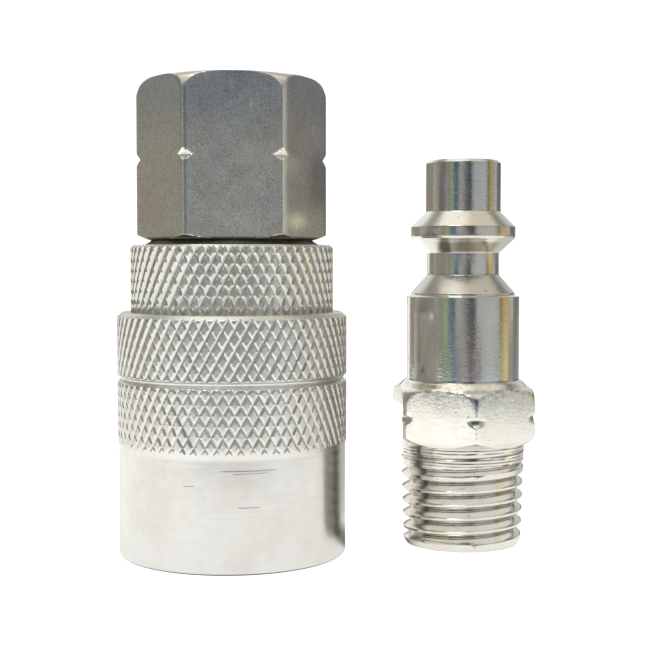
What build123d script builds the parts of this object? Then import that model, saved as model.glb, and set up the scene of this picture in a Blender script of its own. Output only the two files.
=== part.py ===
from build123d import *
import math
import os

# Quick disconnect air coupler, 1/4 inch body size: a spring-locked female
# socket with a self-sealing poppet valve, and the male plug that fits it.
# Millimetres, +Z up.  The origin is on the socket's axis, in the plane of its
# mouth.  The socket stands mouth down, so its front is -Z and its rear +Z.
# The plug stands beside it on its thread, nose (its front) up.
# Names ending in _R are radii and in _Z heights; pairs are (inner, outer)
# radii or (bottom, top) heights.

# shared allowances
FIT_GAP = 0.02                # between parts that touch
PLAY = 0.04                   # beside stop washer and springs
CUT_OVER = 1.0                # how far cutters overshoot an end face

# sliding sleeve
SKIRT_R = 11.70
SKIRT_CHAMFER = 0.35
KNURL_R = 11.80
LOWER_KNURL_Z = (11.56, 17.55)
UPPER_KNURL_Z = (18.55, 24.50)
GROOVE_R = 11.45
GROOVE_FLOOR_Z = (17.85, 18.15)
SLEEVE_TOP_Z = 24.95
SLEEVE_TOP_R = 11.30
SLEEVE_FRONT_BORE_R = 10.20
SLEEVE_STEP_R = 9.53
SLEEVE_LAND_R = 8.40
SLEEVE_REAR_BORE_R = 10.52
SLEEVE_STEP_Z = 2.40
RAMP_Z = (4.00, 9.30)
LAND_TOP_Z = 12.10

# barrel
BARREL_R = 8.25
BARREL_CHAMFER = 0.4
COLLAR_R = 10.40
COLLAR_Z = (21.60, 31.78)
COLLAR_CHAMFER = 0.30
MOUTH_LEAD_R = 6.60
PLUG_BORE_R = 6.06
PLUG_BORE_Z = (0.45, 6.20)
RELIEF_R = 6.50
RELIEF_TOP_Z = 6.90
CHAMBER_R = 6.12
CHAMBER_TOP_Z = 13.30
PACKING_LIP_R = 4.35
PACKING_LIP_Z = (14.70, 15.00)
PACKING_BORE_R = 6.60
PACKING_BORE_TOP_Z = 17.80
VALVE_BORE_R = 7.00
VALVE_BORE_TOP_Z = 24.90
ADAPTER_SOCKET_R = 8.03

# locking balls
BALL_R = 1.75
BALL_COUNT = 6
BALL_PITCH_R = 6.60
BALL_Z = 9.00
BALL_SEAT_R = 1.765
BALL_HOLE_R = 1.78
BALL_HOLE_LENGTH = 4.0

# front snap ring and stop washer
RING_GROOVE_R = 7.75
RING_GROOVE_Z = (0.58, 1.52)
RING_WIRE_R = 0.45
RING_CENTRE_R = RING_GROOVE_R + RING_WIRE_R + FIT_GAP
RING_GAP_DEG = 26.0
STOP_WASHER_R = (8.30, 10.05)
STOP_WASHER_Z = (RING_GROOVE_Z[1] + PLAY, SLEEVE_STEP_Z - PLAY)

# sleeve spring and its washer
THRUST_WASHER_R = (8.40, 10.40)
THRUST_WASHER_Z = (LAND_TOP_Z + FIT_GAP, 12.82)
SLEEVE_SPRING_R = 9.40
SLEEVE_SPRING_WIRE_R = 0.45
SLEEVE_SPRING_Z = (THRUST_WASHER_Z[1] + PLAY, COLLAR_Z[0] - PLAY)
SLEEVE_SPRING_TURNS = 3.6

# packing and seat
PACKING_R = (3.95, PACKING_BORE_R - FIT_GAP)
PACKING_Z = (PACKING_LIP_Z[1] + FIT_GAP, 16.98)
PACKING_WASHER_R = (4.30, PACKING_R[1])
PACKING_WASHER_Z = (PACKING_Z[1] + FIT_GAP, PACKING_BORE_TOP_Z - FIT_GAP)
SEAT_R = (4.20, VALVE_BORE_R - FIT_GAP)
SEAT_Z = (PACKING_BORE_TOP_Z + FIT_GAP, 20.20)
SEAT_CHAMFER = 1.0

# poppet and its ring
POPPET_TUBE_R = (2.80, 3.60)
POPPET_FRONT_Z = 16.40
POPPET_FRONT_CHAMFER = 0.2
POPPET_LIP_R = 4.30
POPPET_LIP_Z = (19.45, 19.80)
POPPET_CONE_OFFSET = 0.3      # bore end cone, above and below the lip's top
POPPET_GROOVE_R = 3.95
POPPET_HEAD_R = 5.30
POPPET_HEAD_Z = (21.06, 22.20)
POPPET_STEM_R = 1.80
POPPET_STEM_TOP_Z = 33.40
POPPET_STEM_CHAMFER = 0.4
WINDOW_COUNT = 4
WINDOW_R = 0.75
WINDOW_Z = 18.35
WINDOW_LENGTH = 6.0
POPPET_RING_WIRE_R = 0.60
POPPET_RING_R = POPPET_GROOVE_R + POPPET_RING_WIRE_R + FIT_GAP

# hex adapter
SOCKET_HEIGHT = 48.5
HEX_FLATS = 17.00
HEX_FIRST_CORNER = -60.0 + 2.69    # degrees: flat towards -Y, turned towards +X
HEX_BOTTOM_Z = 32.30
HEX_RIM_R = 9.90                   # outside the corners
SPIGOT_R = 8.00
SPIGOT_Z = (25.00, HEX_BOTTOM_Z + 1.0)    # top is buried in the hexagon
SPIGOT_CHAMFER = 0.25
ADAPTER_INNER_R = 6.05
ADAPTER_THROAT_R = 5.00
ADAPTER_THROAT_TOP_Z = 35.40
NPT_TAP_R = 5.65
NPT_TAP_TOP_Z = 47.40
NPT_SINK_R = 6.90
ORING_GROOVE_R = 7.08
ORING_GROOVE_Z = (26.20, 27.30)
ADAPTER_RING_R = 7.55
ADAPTER_RING_WIRE_R = 0.44

# valve guide and valve spring
GUIDE_R = ADAPTER_INNER_R - FIT_GAP
GUIDE_Z = (31.00, 32.40)
GUIDE_SHOULDER_Z = GUIDE_Z[1] + FIT_GAP
GUIDE_HOLE_R = 1.85
GUIDE_PORT_COUNT = 6
GUIDE_PORT_R = 1.10
GUIDE_PORT_PITCH_R = 4.20
VALVE_SPRING_R = 3.00
VALVE_SPRING_WIRE_R = 0.35
VALVE_SPRING_Z = (POPPET_HEAD_Z[1] + FIT_GAP, GUIDE_Z[0] - PLAY)
VALVE_SPRING_TURNS = 4.6
COIL_INSET = 0.05             # helix ends to the inner faces of the end turns

# plug
PLUG_X = 24.46
PLUG_Y = 3.54
PLUG_NOSE_R = 3.97
PLUG_NOSE_Z = 40.76
PLUG_NOSE_CHAMFER = 0.35
PLUG_BODY_R = 5.98
PLUG_BODY_Z = (12.00, 26.40)
PLUG_HEX_FLATS = 14.00
PLUG_HEX_FIRST_CORNER = -90.0 + 2.64    # degrees: corner towards -Y, turned towards +X
PLUG_HEX_RIM_R = 8.20                   # outside the corners
PLUG_THREAD_R = 6.60
PLUG_THREAD_Z = (0.7, 9.9)
PLUG_THREAD_END_R = 5.90
PLUG_UNDERCUT_R = 5.90
PLUG_UNDERCUT_Z = 10.3
PLUG_BORE_FRONT_R = 2.70
PLUG_BORE_REAR_R = 3.90
PLUG_BORE_STEP_Z = (12.00, 13.20)
PLUG_FLARE = 0.4              # 45 degree flare of the bore at the nose
PLUG_FLARE_OVER = 0.2         # how far the flare's cutter passes the nose


def notch(rim_r, floor_r, z, half_width):
    """Outline points of a V groove, bottom to top."""
    return [(rim_r, z - half_width), (floor_r, z), (rim_r, z + half_width)]


# Outlines that round off the hexagons and groove their corners: (r, z), bottom to top
HEX_OUTLINE = [
    (8.30, HEX_BOTTOM_Z), (HEX_RIM_R, 32.95),
    *notch(HEX_RIM_R, floor_r=9.46, z=40.44, half_width=0.50),
    (HEX_RIM_R, 47.10), (9.77, 47.40), (9.62, 47.70), (9.46, 48.00),
    (9.20, 48.30), (8.70, SOCKET_HEIGHT),
]
PLUG_HEX_OUTLINE = [
    (6.90, 10.90), (PLUG_HEX_RIM_R, 11.90),
    *notch(PLUG_HEX_RIM_R, floor_r=7.66, z=13.90, half_width=0.55),
    (PLUG_HEX_RIM_R, 14.70), (7.50, 16.10), (6.90, 16.95), (6.20, 17.55),
]
# Plug between body and nose, with the locking groove: (r, z), bottom to top
PLUG_LOCK_OUTLINE = [
    (5.48, 26.56), (5.48, 26.76), (3.81, 28.69), (3.81, 31.12),
    (5.53, 32.62), (5.53, 33.77), (PLUG_NOSE_R, 35.33),
]


# --- helpers ----------------------------------------------------------------
def revolve_profile(points):
    """Turn a closed (r, z) outline about the Z axis."""
    face = make_face(Polyline(*[(r, 0, z) for r, z in points], close=True))
    return revolve(face, axis=Axis.Z, revolution_arc=360)


def tube(radii, heights):
    (r_in, r_out), (z0, z1) = radii, heights
    return revolve_profile([(r_in, z0), (r_out, z0), (r_out, z1), (r_in, z1)])


def torus_ring(mean_r, wire_r, z):
    return Pos(0, 0, z) * Torus(mean_r, wire_r)


def middle(span):
    return (span[0] + span[1]) / 2


def angles_around(count, start=0.0):
    """Evenly spaced angles in radians."""
    return [start + 2 * math.pi * k / count for k in range(count)]


def polar(radius, angle):
    return radius * math.cos(angle), radius * math.sin(angle)


def upward_cylinder(radius, length):
    return Cylinder(radius, length, align=(Align.CENTER, Align.CENTER, Align.MIN))


def radial_hole(origin, angle, radius, length):
    """Cutter that runs outwards from origin, square to the Z axis."""
    return Plane(origin=origin, z_dir=(*polar(1, angle), 0)) * upward_cylinder(radius, length)


def turned_hex(flats, first_corner, outline):
    """Hexagonal prism trimmed to a turned (r, z) outline; first_corner in degrees."""
    corner_r = flats / math.sqrt(3)
    corners = [polar(corner_r, math.radians(first_corner + 60 * k)) for k in range(6)]
    z0, z1 = outline[0][1], outline[-1][1]
    face = make_face(Polyline(*corners, close=True))
    prism = Pos(0, 0, z0) * extrude(face, amount=z1 - z0, dir=(0, 0, 1))
    return prism & revolve_profile([(0, z0)] + outline + [(0, z1)])


def coil(mean_r, wire_r, heights, turns):
    """Open compression spring between two flat end turns."""
    z0, z1 = heights
    helix_z0 = z0 + 2 * wire_r + COIL_INSET
    height = z1 - 2 * wire_r - COIL_INSET - helix_z0
    path = Helix(pitch=height / turns, height=height, radius=mean_r)
    section = Plane(origin=path @ 0, z_dir=path % 0) * Circle(wire_r)
    wire = Pos(0, 0, helix_z0) * sweep(section, path=path, is_frenet=True)
    bottom_turn = torus_ring(mean_r, wire_r, z0 + wire_r)
    top_turn = torus_ring(mean_r, wire_r, z1 - wire_r)
    return one_solid(wire + bottom_turn + top_turn)


def one_solid(shape):
    """The largest solid of a shape."""
    return max(shape.solids(), key=lambda solid: solid.volume)


def write(shape, name):
    shape.label = name
    export_step(shape, os.path.join("parts", name + ".step"))


# --- socket pieces ----------------------------------------------------------
def make_sleeve():
    return revolve_profile([
        (SLEEVE_FRONT_BORE_R, 0.0), (SKIRT_R - SKIRT_CHAMFER, 0.0),
        (SKIRT_R, SKIRT_CHAMFER),
        (SKIRT_R, LOWER_KNURL_Z[0]), (KNURL_R, LOWER_KNURL_Z[0]),
        (KNURL_R, LOWER_KNURL_Z[1]), (GROOVE_R, GROOVE_FLOOR_Z[0]),
        (GROOVE_R, GROOVE_FLOOR_Z[1]),
        (KNURL_R, UPPER_KNURL_Z[0]), (KNURL_R, UPPER_KNURL_Z[1]),
        (SLEEVE_TOP_R, SLEEVE_TOP_Z), (SLEEVE_REAR_BORE_R, SLEEVE_TOP_Z),
        (SLEEVE_REAR_BORE_R, LAND_TOP_Z), (SLEEVE_LAND_R, LAND_TOP_Z),
        (SLEEVE_LAND_R, RAMP_Z[1]), (SLEEVE_STEP_R, RAMP_Z[0]),
        (SLEEVE_STEP_R, SLEEVE_STEP_Z), (SLEEVE_FRONT_BORE_R, SLEEVE_STEP_Z),
    ])


def make_barrel():
    barrel = revolve_profile([
        (MOUTH_LEAD_R, 0.0), (BARREL_R - BARREL_CHAMFER, 0.0), (BARREL_R, BARREL_CHAMFER),
        (BARREL_R, RING_GROOVE_Z[0]), (RING_GROOVE_R, RING_GROOVE_Z[0]),
        (RING_GROOVE_R, RING_GROOVE_Z[1]), (BARREL_R, RING_GROOVE_Z[1]),
        (BARREL_R, COLLAR_Z[0]), (COLLAR_R, COLLAR_Z[0]),
        (COLLAR_R, COLLAR_Z[1] - COLLAR_CHAMFER), (COLLAR_R - COLLAR_CHAMFER, COLLAR_Z[1]),
        (ADAPTER_SOCKET_R, COLLAR_Z[1]), (ADAPTER_SOCKET_R, VALVE_BORE_TOP_Z),
        (VALVE_BORE_R, VALVE_BORE_TOP_Z), (VALVE_BORE_R, PACKING_BORE_TOP_Z),
        (PACKING_BORE_R, PACKING_BORE_TOP_Z), (PACKING_BORE_R, PACKING_LIP_Z[1]),
        (PACKING_LIP_R, PACKING_LIP_Z[1]), (PACKING_LIP_R, PACKING_LIP_Z[0]),
        (CHAMBER_R, CHAMBER_TOP_Z), (CHAMBER_R, RELIEF_TOP_Z),
        (RELIEF_R, RELIEF_TOP_Z), (RELIEF_R, PLUG_BORE_Z[1]),
        (PLUG_BORE_R, PLUG_BORE_Z[1]), (PLUG_BORE_R, PLUG_BORE_Z[0]),
    ])
    for angle in angles_around(BALL_COUNT):
        centre = (*polar(BALL_PITCH_R, angle), BALL_Z)
        seat = Pos(*centre) * Sphere(BALL_SEAT_R)
        hole = radial_hole(centre, angle, BALL_HOLE_R, BALL_HOLE_LENGTH)
        barrel = barrel - seat - hole
    return one_solid(barrel)


def make_snap_ring():
    """Split ring of round wire, its gap towards -Y."""
    section = Pos(RING_CENTRE_R, 0, middle(RING_GROOVE_Z)) * Rot(90, 0, 0) * Circle(RING_WIRE_R)
    ring = revolve(section, axis=Axis.Z, revolution_arc=360 - RING_GAP_DEG)
    return one_solid(Rot(0, 0, -90 + RING_GAP_DEG / 2) * ring)


def make_packing():
    """U-section rubber ring, open towards the line pressure (+Z)."""
    (r_in, r_out), (z0, z1) = PACKING_R, PACKING_Z
    floor_z = z0 + 0.95
    return revolve_profile([
        (r_in, z0 + 0.25), (r_in + 0.25, z0), (r_out, z0), (r_out, z1),
        (r_out - 0.75, z1), (r_out - 0.95, floor_z),
        (r_in + 0.95, floor_z), (r_in + 0.60, z1), (r_in, z1 - 0.20),
    ])


def make_seat_ring():
    """Flat front, 45 degree seat at the rear."""
    (r_in, r_out), (z0, z1) = SEAT_R, SEAT_Z
    return revolve_profile([
        (r_in, z0), (r_out, z0), (r_out, z1),
        (r_in + SEAT_CHAMFER, z1), (r_in, z1 - SEAT_CHAMFER),
    ])


def make_poppet():
    """Windowed front tube, head and guided stem."""
    bore_r, tube_r = POPPET_TUBE_R
    lip_z0, lip_z1 = POPPET_LIP_Z
    poppet = revolve_profile([
        (bore_r, POPPET_FRONT_Z), (tube_r - POPPET_FRONT_CHAMFER, POPPET_FRONT_Z),
        (tube_r, POPPET_FRONT_Z + POPPET_FRONT_CHAMFER), (tube_r, lip_z0),
        (POPPET_LIP_R, lip_z0), (POPPET_LIP_R, lip_z1),
        (POPPET_GROOVE_R, lip_z1), (POPPET_GROOVE_R, POPPET_HEAD_Z[0]),
        (POPPET_HEAD_R, POPPET_HEAD_Z[0]), (POPPET_HEAD_R, POPPET_HEAD_Z[1]),
        (POPPET_STEM_R, POPPET_HEAD_Z[1]),
        (POPPET_STEM_R, POPPET_STEM_TOP_Z - POPPET_STEM_CHAMFER),
        (POPPET_STEM_R - POPPET_STEM_CHAMFER, POPPET_STEM_TOP_Z), (0.0, POPPET_STEM_TOP_Z),
        (0.0, lip_z1 + POPPET_CONE_OFFSET), (bore_r, lip_z1 - POPPET_CONE_OFFSET),
    ])
    for angle in angles_around(WINDOW_COUNT, start=math.pi / 4):
        poppet = poppet - radial_hole((0, 0, WINDOW_Z), angle, WINDOW_R, WINDOW_LENGTH)
    return one_solid(poppet)


def make_guide():
    """Perforated disc that centres the stem."""
    guide = tube((GUIDE_HOLE_R, GUIDE_R), GUIDE_Z)
    length = GUIDE_Z[1] - GUIDE_Z[0] + 2 * CUT_OVER
    for angle in angles_around(GUIDE_PORT_COUNT):
        place = Pos(*polar(GUIDE_PORT_PITCH_R, angle), GUIDE_Z[0] - CUT_OVER)
        guide = guide - place * upward_cylinder(GUIDE_PORT_R, length)
    return one_solid(guide)


def make_adapter():
    """Hexagon with a pipe port above, spigot below."""
    z0, z1 = SPIGOT_Z
    hexagon = turned_hex(HEX_FLATS, HEX_FIRST_CORNER, HEX_OUTLINE)
    spigot = revolve_profile([
        (0, z0), (SPIGOT_R - SPIGOT_CHAMFER, z0), (SPIGOT_R, z0 + SPIGOT_CHAMFER),
        (SPIGOT_R, ORING_GROOVE_Z[0]), (ORING_GROOVE_R, ORING_GROOVE_Z[0]),
        (ORING_GROOVE_R, ORING_GROOVE_Z[1]), (SPIGOT_R, ORING_GROOVE_Z[1]),
        (SPIGOT_R, z1), (0, z1),
    ])
    way_through = revolve_profile([
        (0, z0 - CUT_OVER), (ADAPTER_INNER_R, z0 - CUT_OVER),
        (ADAPTER_INNER_R, GUIDE_SHOULDER_Z), (ADAPTER_THROAT_R, GUIDE_SHOULDER_Z),
        (ADAPTER_THROAT_R, ADAPTER_THROAT_TOP_Z), (NPT_TAP_R, ADAPTER_THROAT_TOP_Z),
        (NPT_TAP_R, NPT_TAP_TOP_Z), (NPT_SINK_R, SOCKET_HEIGHT),
        (NPT_SINK_R, SOCKET_HEIGHT + CUT_OVER), (0, SOCKET_HEIGHT + CUT_OVER),
    ])
    return one_solid((hexagon + spigot) - way_through)


# --- plug -------------------------------------------------------------------
def make_plug():
    """One turned piece with a hexagon, bored through."""
    turned = revolve_profile([
        (0, 0), (PLUG_THREAD_END_R, 0), (PLUG_THREAD_R, PLUG_THREAD_Z[0]),
        (PLUG_THREAD_R, PLUG_THREAD_Z[1]), (PLUG_UNDERCUT_R, PLUG_UNDERCUT_Z),
        (PLUG_UNDERCUT_R, PLUG_BODY_Z[0]), (PLUG_BODY_R, PLUG_BODY_Z[0]),
        (PLUG_BODY_R, PLUG_BODY_Z[1]),
        *PLUG_LOCK_OUTLINE,
        (PLUG_NOSE_R, PLUG_NOSE_Z - PLUG_NOSE_CHAMFER),
        (PLUG_NOSE_R - PLUG_NOSE_CHAMFER, PLUG_NOSE_Z), (0, PLUG_NOSE_Z),
    ])
    hexagon = turned_hex(PLUG_HEX_FLATS, PLUG_HEX_FIRST_CORNER, PLUG_HEX_OUTLINE)
    cutter_top = PLUG_NOSE_Z + PLUG_FLARE_OVER
    bore = revolve_profile([
        (0, -CUT_OVER), (PLUG_BORE_REAR_R, -CUT_OVER),
        (PLUG_BORE_REAR_R, PLUG_BORE_STEP_Z[0]), (PLUG_BORE_FRONT_R, PLUG_BORE_STEP_Z[1]),
        (PLUG_BORE_FRONT_R, PLUG_NOSE_Z - PLUG_FLARE),
        (PLUG_BORE_FRONT_R + PLUG_FLARE + PLUG_FLARE_OVER, cutter_top), (0, cutter_top),
    ])
    return Pos(PLUG_X, PLUG_Y, 0) * one_solid((turned + hexagon) - bore)


# --- build and write --------------------------------------------------------
os.makedirs("parts", exist_ok=True)

write(make_sleeve(), "sleeve")
write(make_barrel(), "barrel")
for number, angle in enumerate(angles_around(BALL_COUNT), start=1):
    write(Pos(*polar(BALL_PITCH_R, angle), BALL_Z) * Sphere(BALL_R), f"lock_ball_{number}")
write(make_snap_ring(), "front_snap_ring")
write(tube(STOP_WASHER_R, STOP_WASHER_Z), "front_stop_washer")
write(tube(THRUST_WASHER_R, THRUST_WASHER_Z), "sleeve_thrust_washer")
write(tube(PACKING_WASHER_R, PACKING_WASHER_Z), "packing_washer")
write(coil(SLEEVE_SPRING_R, SLEEVE_SPRING_WIRE_R, SLEEVE_SPRING_Z, SLEEVE_SPRING_TURNS),
      "sleeve_spring")
write(coil(VALVE_SPRING_R, VALVE_SPRING_WIRE_R, VALVE_SPRING_Z, VALVE_SPRING_TURNS),
      "valve_spring")
write(make_packing(), "nose_packing")
write(make_seat_ring(), "valve_seat_ring")
write(make_poppet(), "valve_poppet")
write(torus_ring(POPPET_RING_R, POPPET_RING_WIRE_R, middle((POPPET_LIP_Z[1], POPPET_HEAD_Z[0]))),
      "poppet_o_ring")
write(make_guide(), "valve_guide")
write(make_adapter(), "hex_adapter")
write(torus_ring(ADAPTER_RING_R, ADAPTER_RING_WIRE_R, middle(ORING_GROOVE_Z)), "adapter_o_ring")
write(make_plug(), "plug")
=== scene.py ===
"""Quick coupling: a socket standing on its axis (Z, foot at z = 0) and, to its
right (+X), the plug that fits it.  The camera looks along +Y, so -Y is the front.

Shapes are worked out in millimetres and scaled to metres by make_object; shaders,
stage, lights and camera are in metres.  Angles phi start at -Y and grow towards +X.
"""
import math
from collections import namedtuple

import bmesh
import bpy
import numpy as np
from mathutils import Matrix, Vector


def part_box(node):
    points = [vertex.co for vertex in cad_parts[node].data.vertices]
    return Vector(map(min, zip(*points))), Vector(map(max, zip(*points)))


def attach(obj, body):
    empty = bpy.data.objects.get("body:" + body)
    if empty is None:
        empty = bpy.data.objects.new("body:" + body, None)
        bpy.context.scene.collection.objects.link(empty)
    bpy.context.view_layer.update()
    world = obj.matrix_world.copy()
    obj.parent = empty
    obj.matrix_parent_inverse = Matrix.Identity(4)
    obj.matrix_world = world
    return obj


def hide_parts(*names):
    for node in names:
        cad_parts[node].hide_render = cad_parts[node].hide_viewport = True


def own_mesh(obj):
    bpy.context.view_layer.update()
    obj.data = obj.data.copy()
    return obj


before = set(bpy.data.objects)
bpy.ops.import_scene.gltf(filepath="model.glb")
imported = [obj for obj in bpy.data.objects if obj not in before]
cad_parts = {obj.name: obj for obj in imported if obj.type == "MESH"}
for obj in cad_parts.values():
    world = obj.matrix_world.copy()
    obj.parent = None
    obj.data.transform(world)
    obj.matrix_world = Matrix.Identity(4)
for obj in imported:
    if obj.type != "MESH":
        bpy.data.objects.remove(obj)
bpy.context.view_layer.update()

MM = 0.001
TAU = 2 * math.pi
scene = bpy.context.scene

# sleeve
SLEEVE_RADIUS = 11.80
SLEEVE_TOP = 24.95
SLEEVE_GROOVES = 64
# barrel
COLLAR_RADIUS = 10.40
COLLAR_TOP = 31.78
COLLAR_GROOVES = 56
# balls in the barrel wall
BALL_COUNT = 6
BALL_CIRCLE = 6.6
BALL_HEIGHT = 9.0
BALL_SEAT_RADIUS = 1.765
BALL_HOLE_RADIUS = 1.78
BALL_HOLE_REACH = 3.6
# hexagon adapter; the notch is a V groove turned round its corners
ADAPTER_FLATS = 17.0
ADAPTER_TURN = 2.69
NOTCH_RADIUS = 9.35
NOTCH_HEIGHT = 40.44
NOTCH_SLOPE = 0.62
# plug
PLUG_X, PLUG_Y = 24.46, 3.54
PLUG_FLATS = 14.0
PLUG_TURN = 2.64
# tapered pipe thread, shared by the adapter and the plug
THREAD_PITCH = 1.4111
THREAD_TAPER = 1 / 32
THREAD_FLANK = 1.732
# diamond knurls
KNURL_ANGLE = 29.5
STEPS_PER_DIAMOND = 12

# Turned outline that trims the adapter's hexagon: (height, radius)
ADAPTER_BLANK = [
    (32.30, 8.45), (32.36, 8.72), (32.52, 9.20), (32.80, 9.78), (32.95, 10.3), (46.2, 10.3),
    (46.45, 9.92), (46.85, 9.80), (47.07, 9.72), (47.35, 9.62), (47.65, 9.50), (47.90, 9.38),
    (48.12, 9.20), (48.30, 8.98), (48.43, 8.78), (48.50, 8.60)]
LOWER_RIM = ADAPTER_BLANK[1:4]
UPPER_RIM = ADAPTER_BLANK[-9:]


# ---------------------------------------------------------------------------
# mesh helpers
# ---------------------------------------------------------------------------
def polar(r, phi, z):
    r, phi, z = np.broadcast_arrays(r, phi, z)
    return np.stack([r * np.sin(phi), -r * np.cos(phi), z], -1)


def wave_noise(phi, z, waves, max_lobes, max_rise, seed):
    """Smooth noise that closes round the axis, about -1 to 1."""
    random = np.random.RandomState(seed)
    total = 0.0
    for _ in range(waves):
        lobes = random.randint(1, max_lobes + 1)
        rise = random.uniform(-max_rise, max_rise)
        wave = np.sin(lobes * phi + rise * z + random.uniform(0, TAU))
        total = total + wave * random.uniform(0.5, 1)
    return total / (0.62 * math.sqrt(waves) * 1.6)


def smooth_min(values, soft):
    """Minimum with its creases rounded over about soft millimetres."""
    stack = np.stack(np.broadcast_arrays(*values), 0)
    low = stack.min(0)
    return low - soft * np.log(np.exp(-(stack - low) / soft).sum(0))


def smoothstep(x, lo, hi):
    t = np.clip((x - lo) / (hi - lo), 0, 1)
    return t * t * (3 - 2 * t)


def outline_radius(z, stations):
    """Radius at height z of an outline given as (height, radius) stations."""
    heights, radii = zip(*stations)
    return float(np.interp(z, heights, radii))


def round_profile(points, radius=0.06, steps=3):
    """Closed (r, z) outline with each corner replaced by a short arc.  A third
    value in a point is that corner's own radius."""
    rounded = []
    for i, point in enumerate(points):
        before, corner, after = (np.array(points[(i + k) % len(points)][:2], float)
                                 for k in (-1, 0, 1))
        corner_radius = point[2] if len(point) > 2 else radius
        back, ahead = before - corner, after - corner
        back_len, ahead_len = np.linalg.norm(back), np.linalg.norm(ahead)
        angle = math.acos(float(np.clip(back @ ahead / back_len / ahead_len, -1, 1)))
        if angle > math.radians(168):
            rounded.append(tuple(corner))
            continue
        cut = min(corner_radius / max(math.tan(angle / 2), 0.2),
                  0.42 * back_len, 0.42 * ahead_len)
        start, end = corner + back / back_len * cut, corner + ahead / ahead_len * cut
        for s in range(steps + 1):
            t = s / steps
            rounded.append(tuple((1 - t) ** 2 * start + 2 * t * (1 - t) * corner + t * t * end))
    return rounded


class Grid:
    """Skin of rings round the axis, joined one to the next and at last closed
    back on the first."""

    def __init__(self, columns):
        self.columns = columns
        self.verts = []
        self.count = 0
        self.faces = []
        self.prev = None
        self.prev_r = None
        self.first = None

    def ring(self, points):
        ids = np.arange(self.count, self.count + self.columns)
        self.verts.append(points)
        self.count += self.columns
        return ids

    def strip(self, low, high, radii=None):
        """Join two rings: quads, or triangles split along the flatter diagonal
        when the radii of both rings are given."""
        low_next, high_next = np.roll(low, -1), np.roll(high, -1)
        if radii is None:
            self.faces += np.stack([low, low_next, high_next, high], -1).tolist()
            return
        r_low, r_high = radii
        rising = np.abs(r_low - np.roll(r_high, -1)) <= np.abs(np.roll(r_low, -1) - r_high)
        rising = rising[:, None]
        one = np.where(rising, np.stack([low, low_next, high_next], -1),
                       np.stack([low, low_next, high], -1))
        two = np.where(rising, np.stack([low, high_next, high], -1),
                       np.stack([low_next, high_next, high], -1))
        self.faces += one.tolist() + two.tolist()

    def add(self, points, r=None):
        ids = self.ring(points)
        if self.prev is None:
            self.first = ids
        else:
            known = r is not None and self.prev_r is not None
            self.strip(self.prev, ids, (self.prev_r, r) if known else None)
        self.prev, self.prev_r = ids, r

    def add_profile(self, outline, phis):
        for r, z in outline:
            self.add(polar(r, phis, z))

    def add_helix(self, phis, z0, z1, rows_per_pitch, radius_at, down=False):
        """Threaded patch whose rows climb one pitch a turn, so its seam joins
        one pitch up.  radius_at takes height, phase within the pitch and phi."""
        turns = int(math.ceil((z1 - z0) / THREAD_PITCH)) + 1
        row = np.arange(turns * rows_per_pitch + 1)
        climb = row[:, None] / rows_per_pitch + phis[None, :] / TAU
        z = np.clip(z0 - THREAD_PITCH + THREAD_PITCH * climb, z0, z1)
        phase = (z - z0) / THREAD_PITCH - phis[None, :] / TAU
        r = radius_at(z, phase - np.floor(phase), np.broadcast_to(phis, z.shape))
        ids = np.stack([self.ring(p) for p in polar(r, phis[None, :], z)])
        corners = [ids[:-1, :-1], ids[:-1, 1:], ids[1:, 1:], ids[1:, :-1]]
        quads = np.stack(corners, -1).reshape(-1, 4)
        shift = rows_per_pitch
        seam = np.stack([ids[:-1 - shift, -1], ids[shift:-1, 0], ids[shift + 1:, 0],
                         ids[1:len(ids) - shift, -1]], -1)
        quads = np.concatenate([quads, seam])
        enter, leave = ids[0], ids[-1]
        if down:
            quads = quads[:, ::-1]
            enter, leave = leave, enter
        self.strip(self.prev, enter)
        self.faces += quads.tolist()
        self.prev, self.prev_r = leave, None

    def recolumn(self, points):
        """Next ring with fewer columns; its count divides the present one."""
        fine, self.columns = self.prev, len(points)
        ids = self.ring(points)
        k = len(fine) // self.columns
        for i in range(self.columns):
            run = [int(fine[(i * k + j) % len(fine)]) for j in range(k + 1)]
            self.faces.append(run + [int(ids[(i + 1) % self.columns]), int(ids[i])])
        self.prev, self.prev_r = ids, None

    def close(self):
        last, first = self.prev, self.first
        if len(last) == len(first):
            self.strip(last, first)
            return
        k = len(first) // len(last)
        for i in range(len(last)):
            run = [int(first[(i * k + j) % len(first)]) for j in range(k, -1, -1)]
            self.faces.append([int(last[i]), int(last[(i + 1) % len(last)])] + run)

    def data(self):
        return np.concatenate(self.verts), self.faces


def link_object(name, data):
    obj = bpy.data.objects.new(name, data)
    scene.collection.objects.link(obj)
    return obj


def make_object(name, verts, faces, x=0.0, y=0.0, sharp=32.0, merge=2e-4):
    """Mesh object in metres from millimetre points; welded, facing outwards."""
    mesh = bpy.data.meshes.new(name)
    placed = np.asarray(verts, float) + np.array([x, y, 0.0])
    mesh.from_pydata((placed * MM).tolist(), [], faces)
    bm = bmesh.new()
    bm.from_mesh(mesh)
    bmesh.ops.remove_doubles(bm, verts=bm.verts, dist=merge * MM)
    bmesh.ops.dissolve_degenerate(bm, edges=bm.edges, dist=merge * MM * 0.5)
    loose = [vert for vert in bm.verts if not vert.link_faces]
    if loose:
        bmesh.ops.delete(bm, geom=loose, context="VERTS")
    if bm.calc_volume(signed=True) < 0:
        bmesh.ops.reverse_faces(bm, faces=bm.faces)
    bm.to_mesh(mesh)
    bm.free()
    mesh.validate()
    mesh.shade_smooth()
    mesh.set_sharp_from_angle(angle=math.radians(sharp))
    return link_object(name, mesh)


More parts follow.
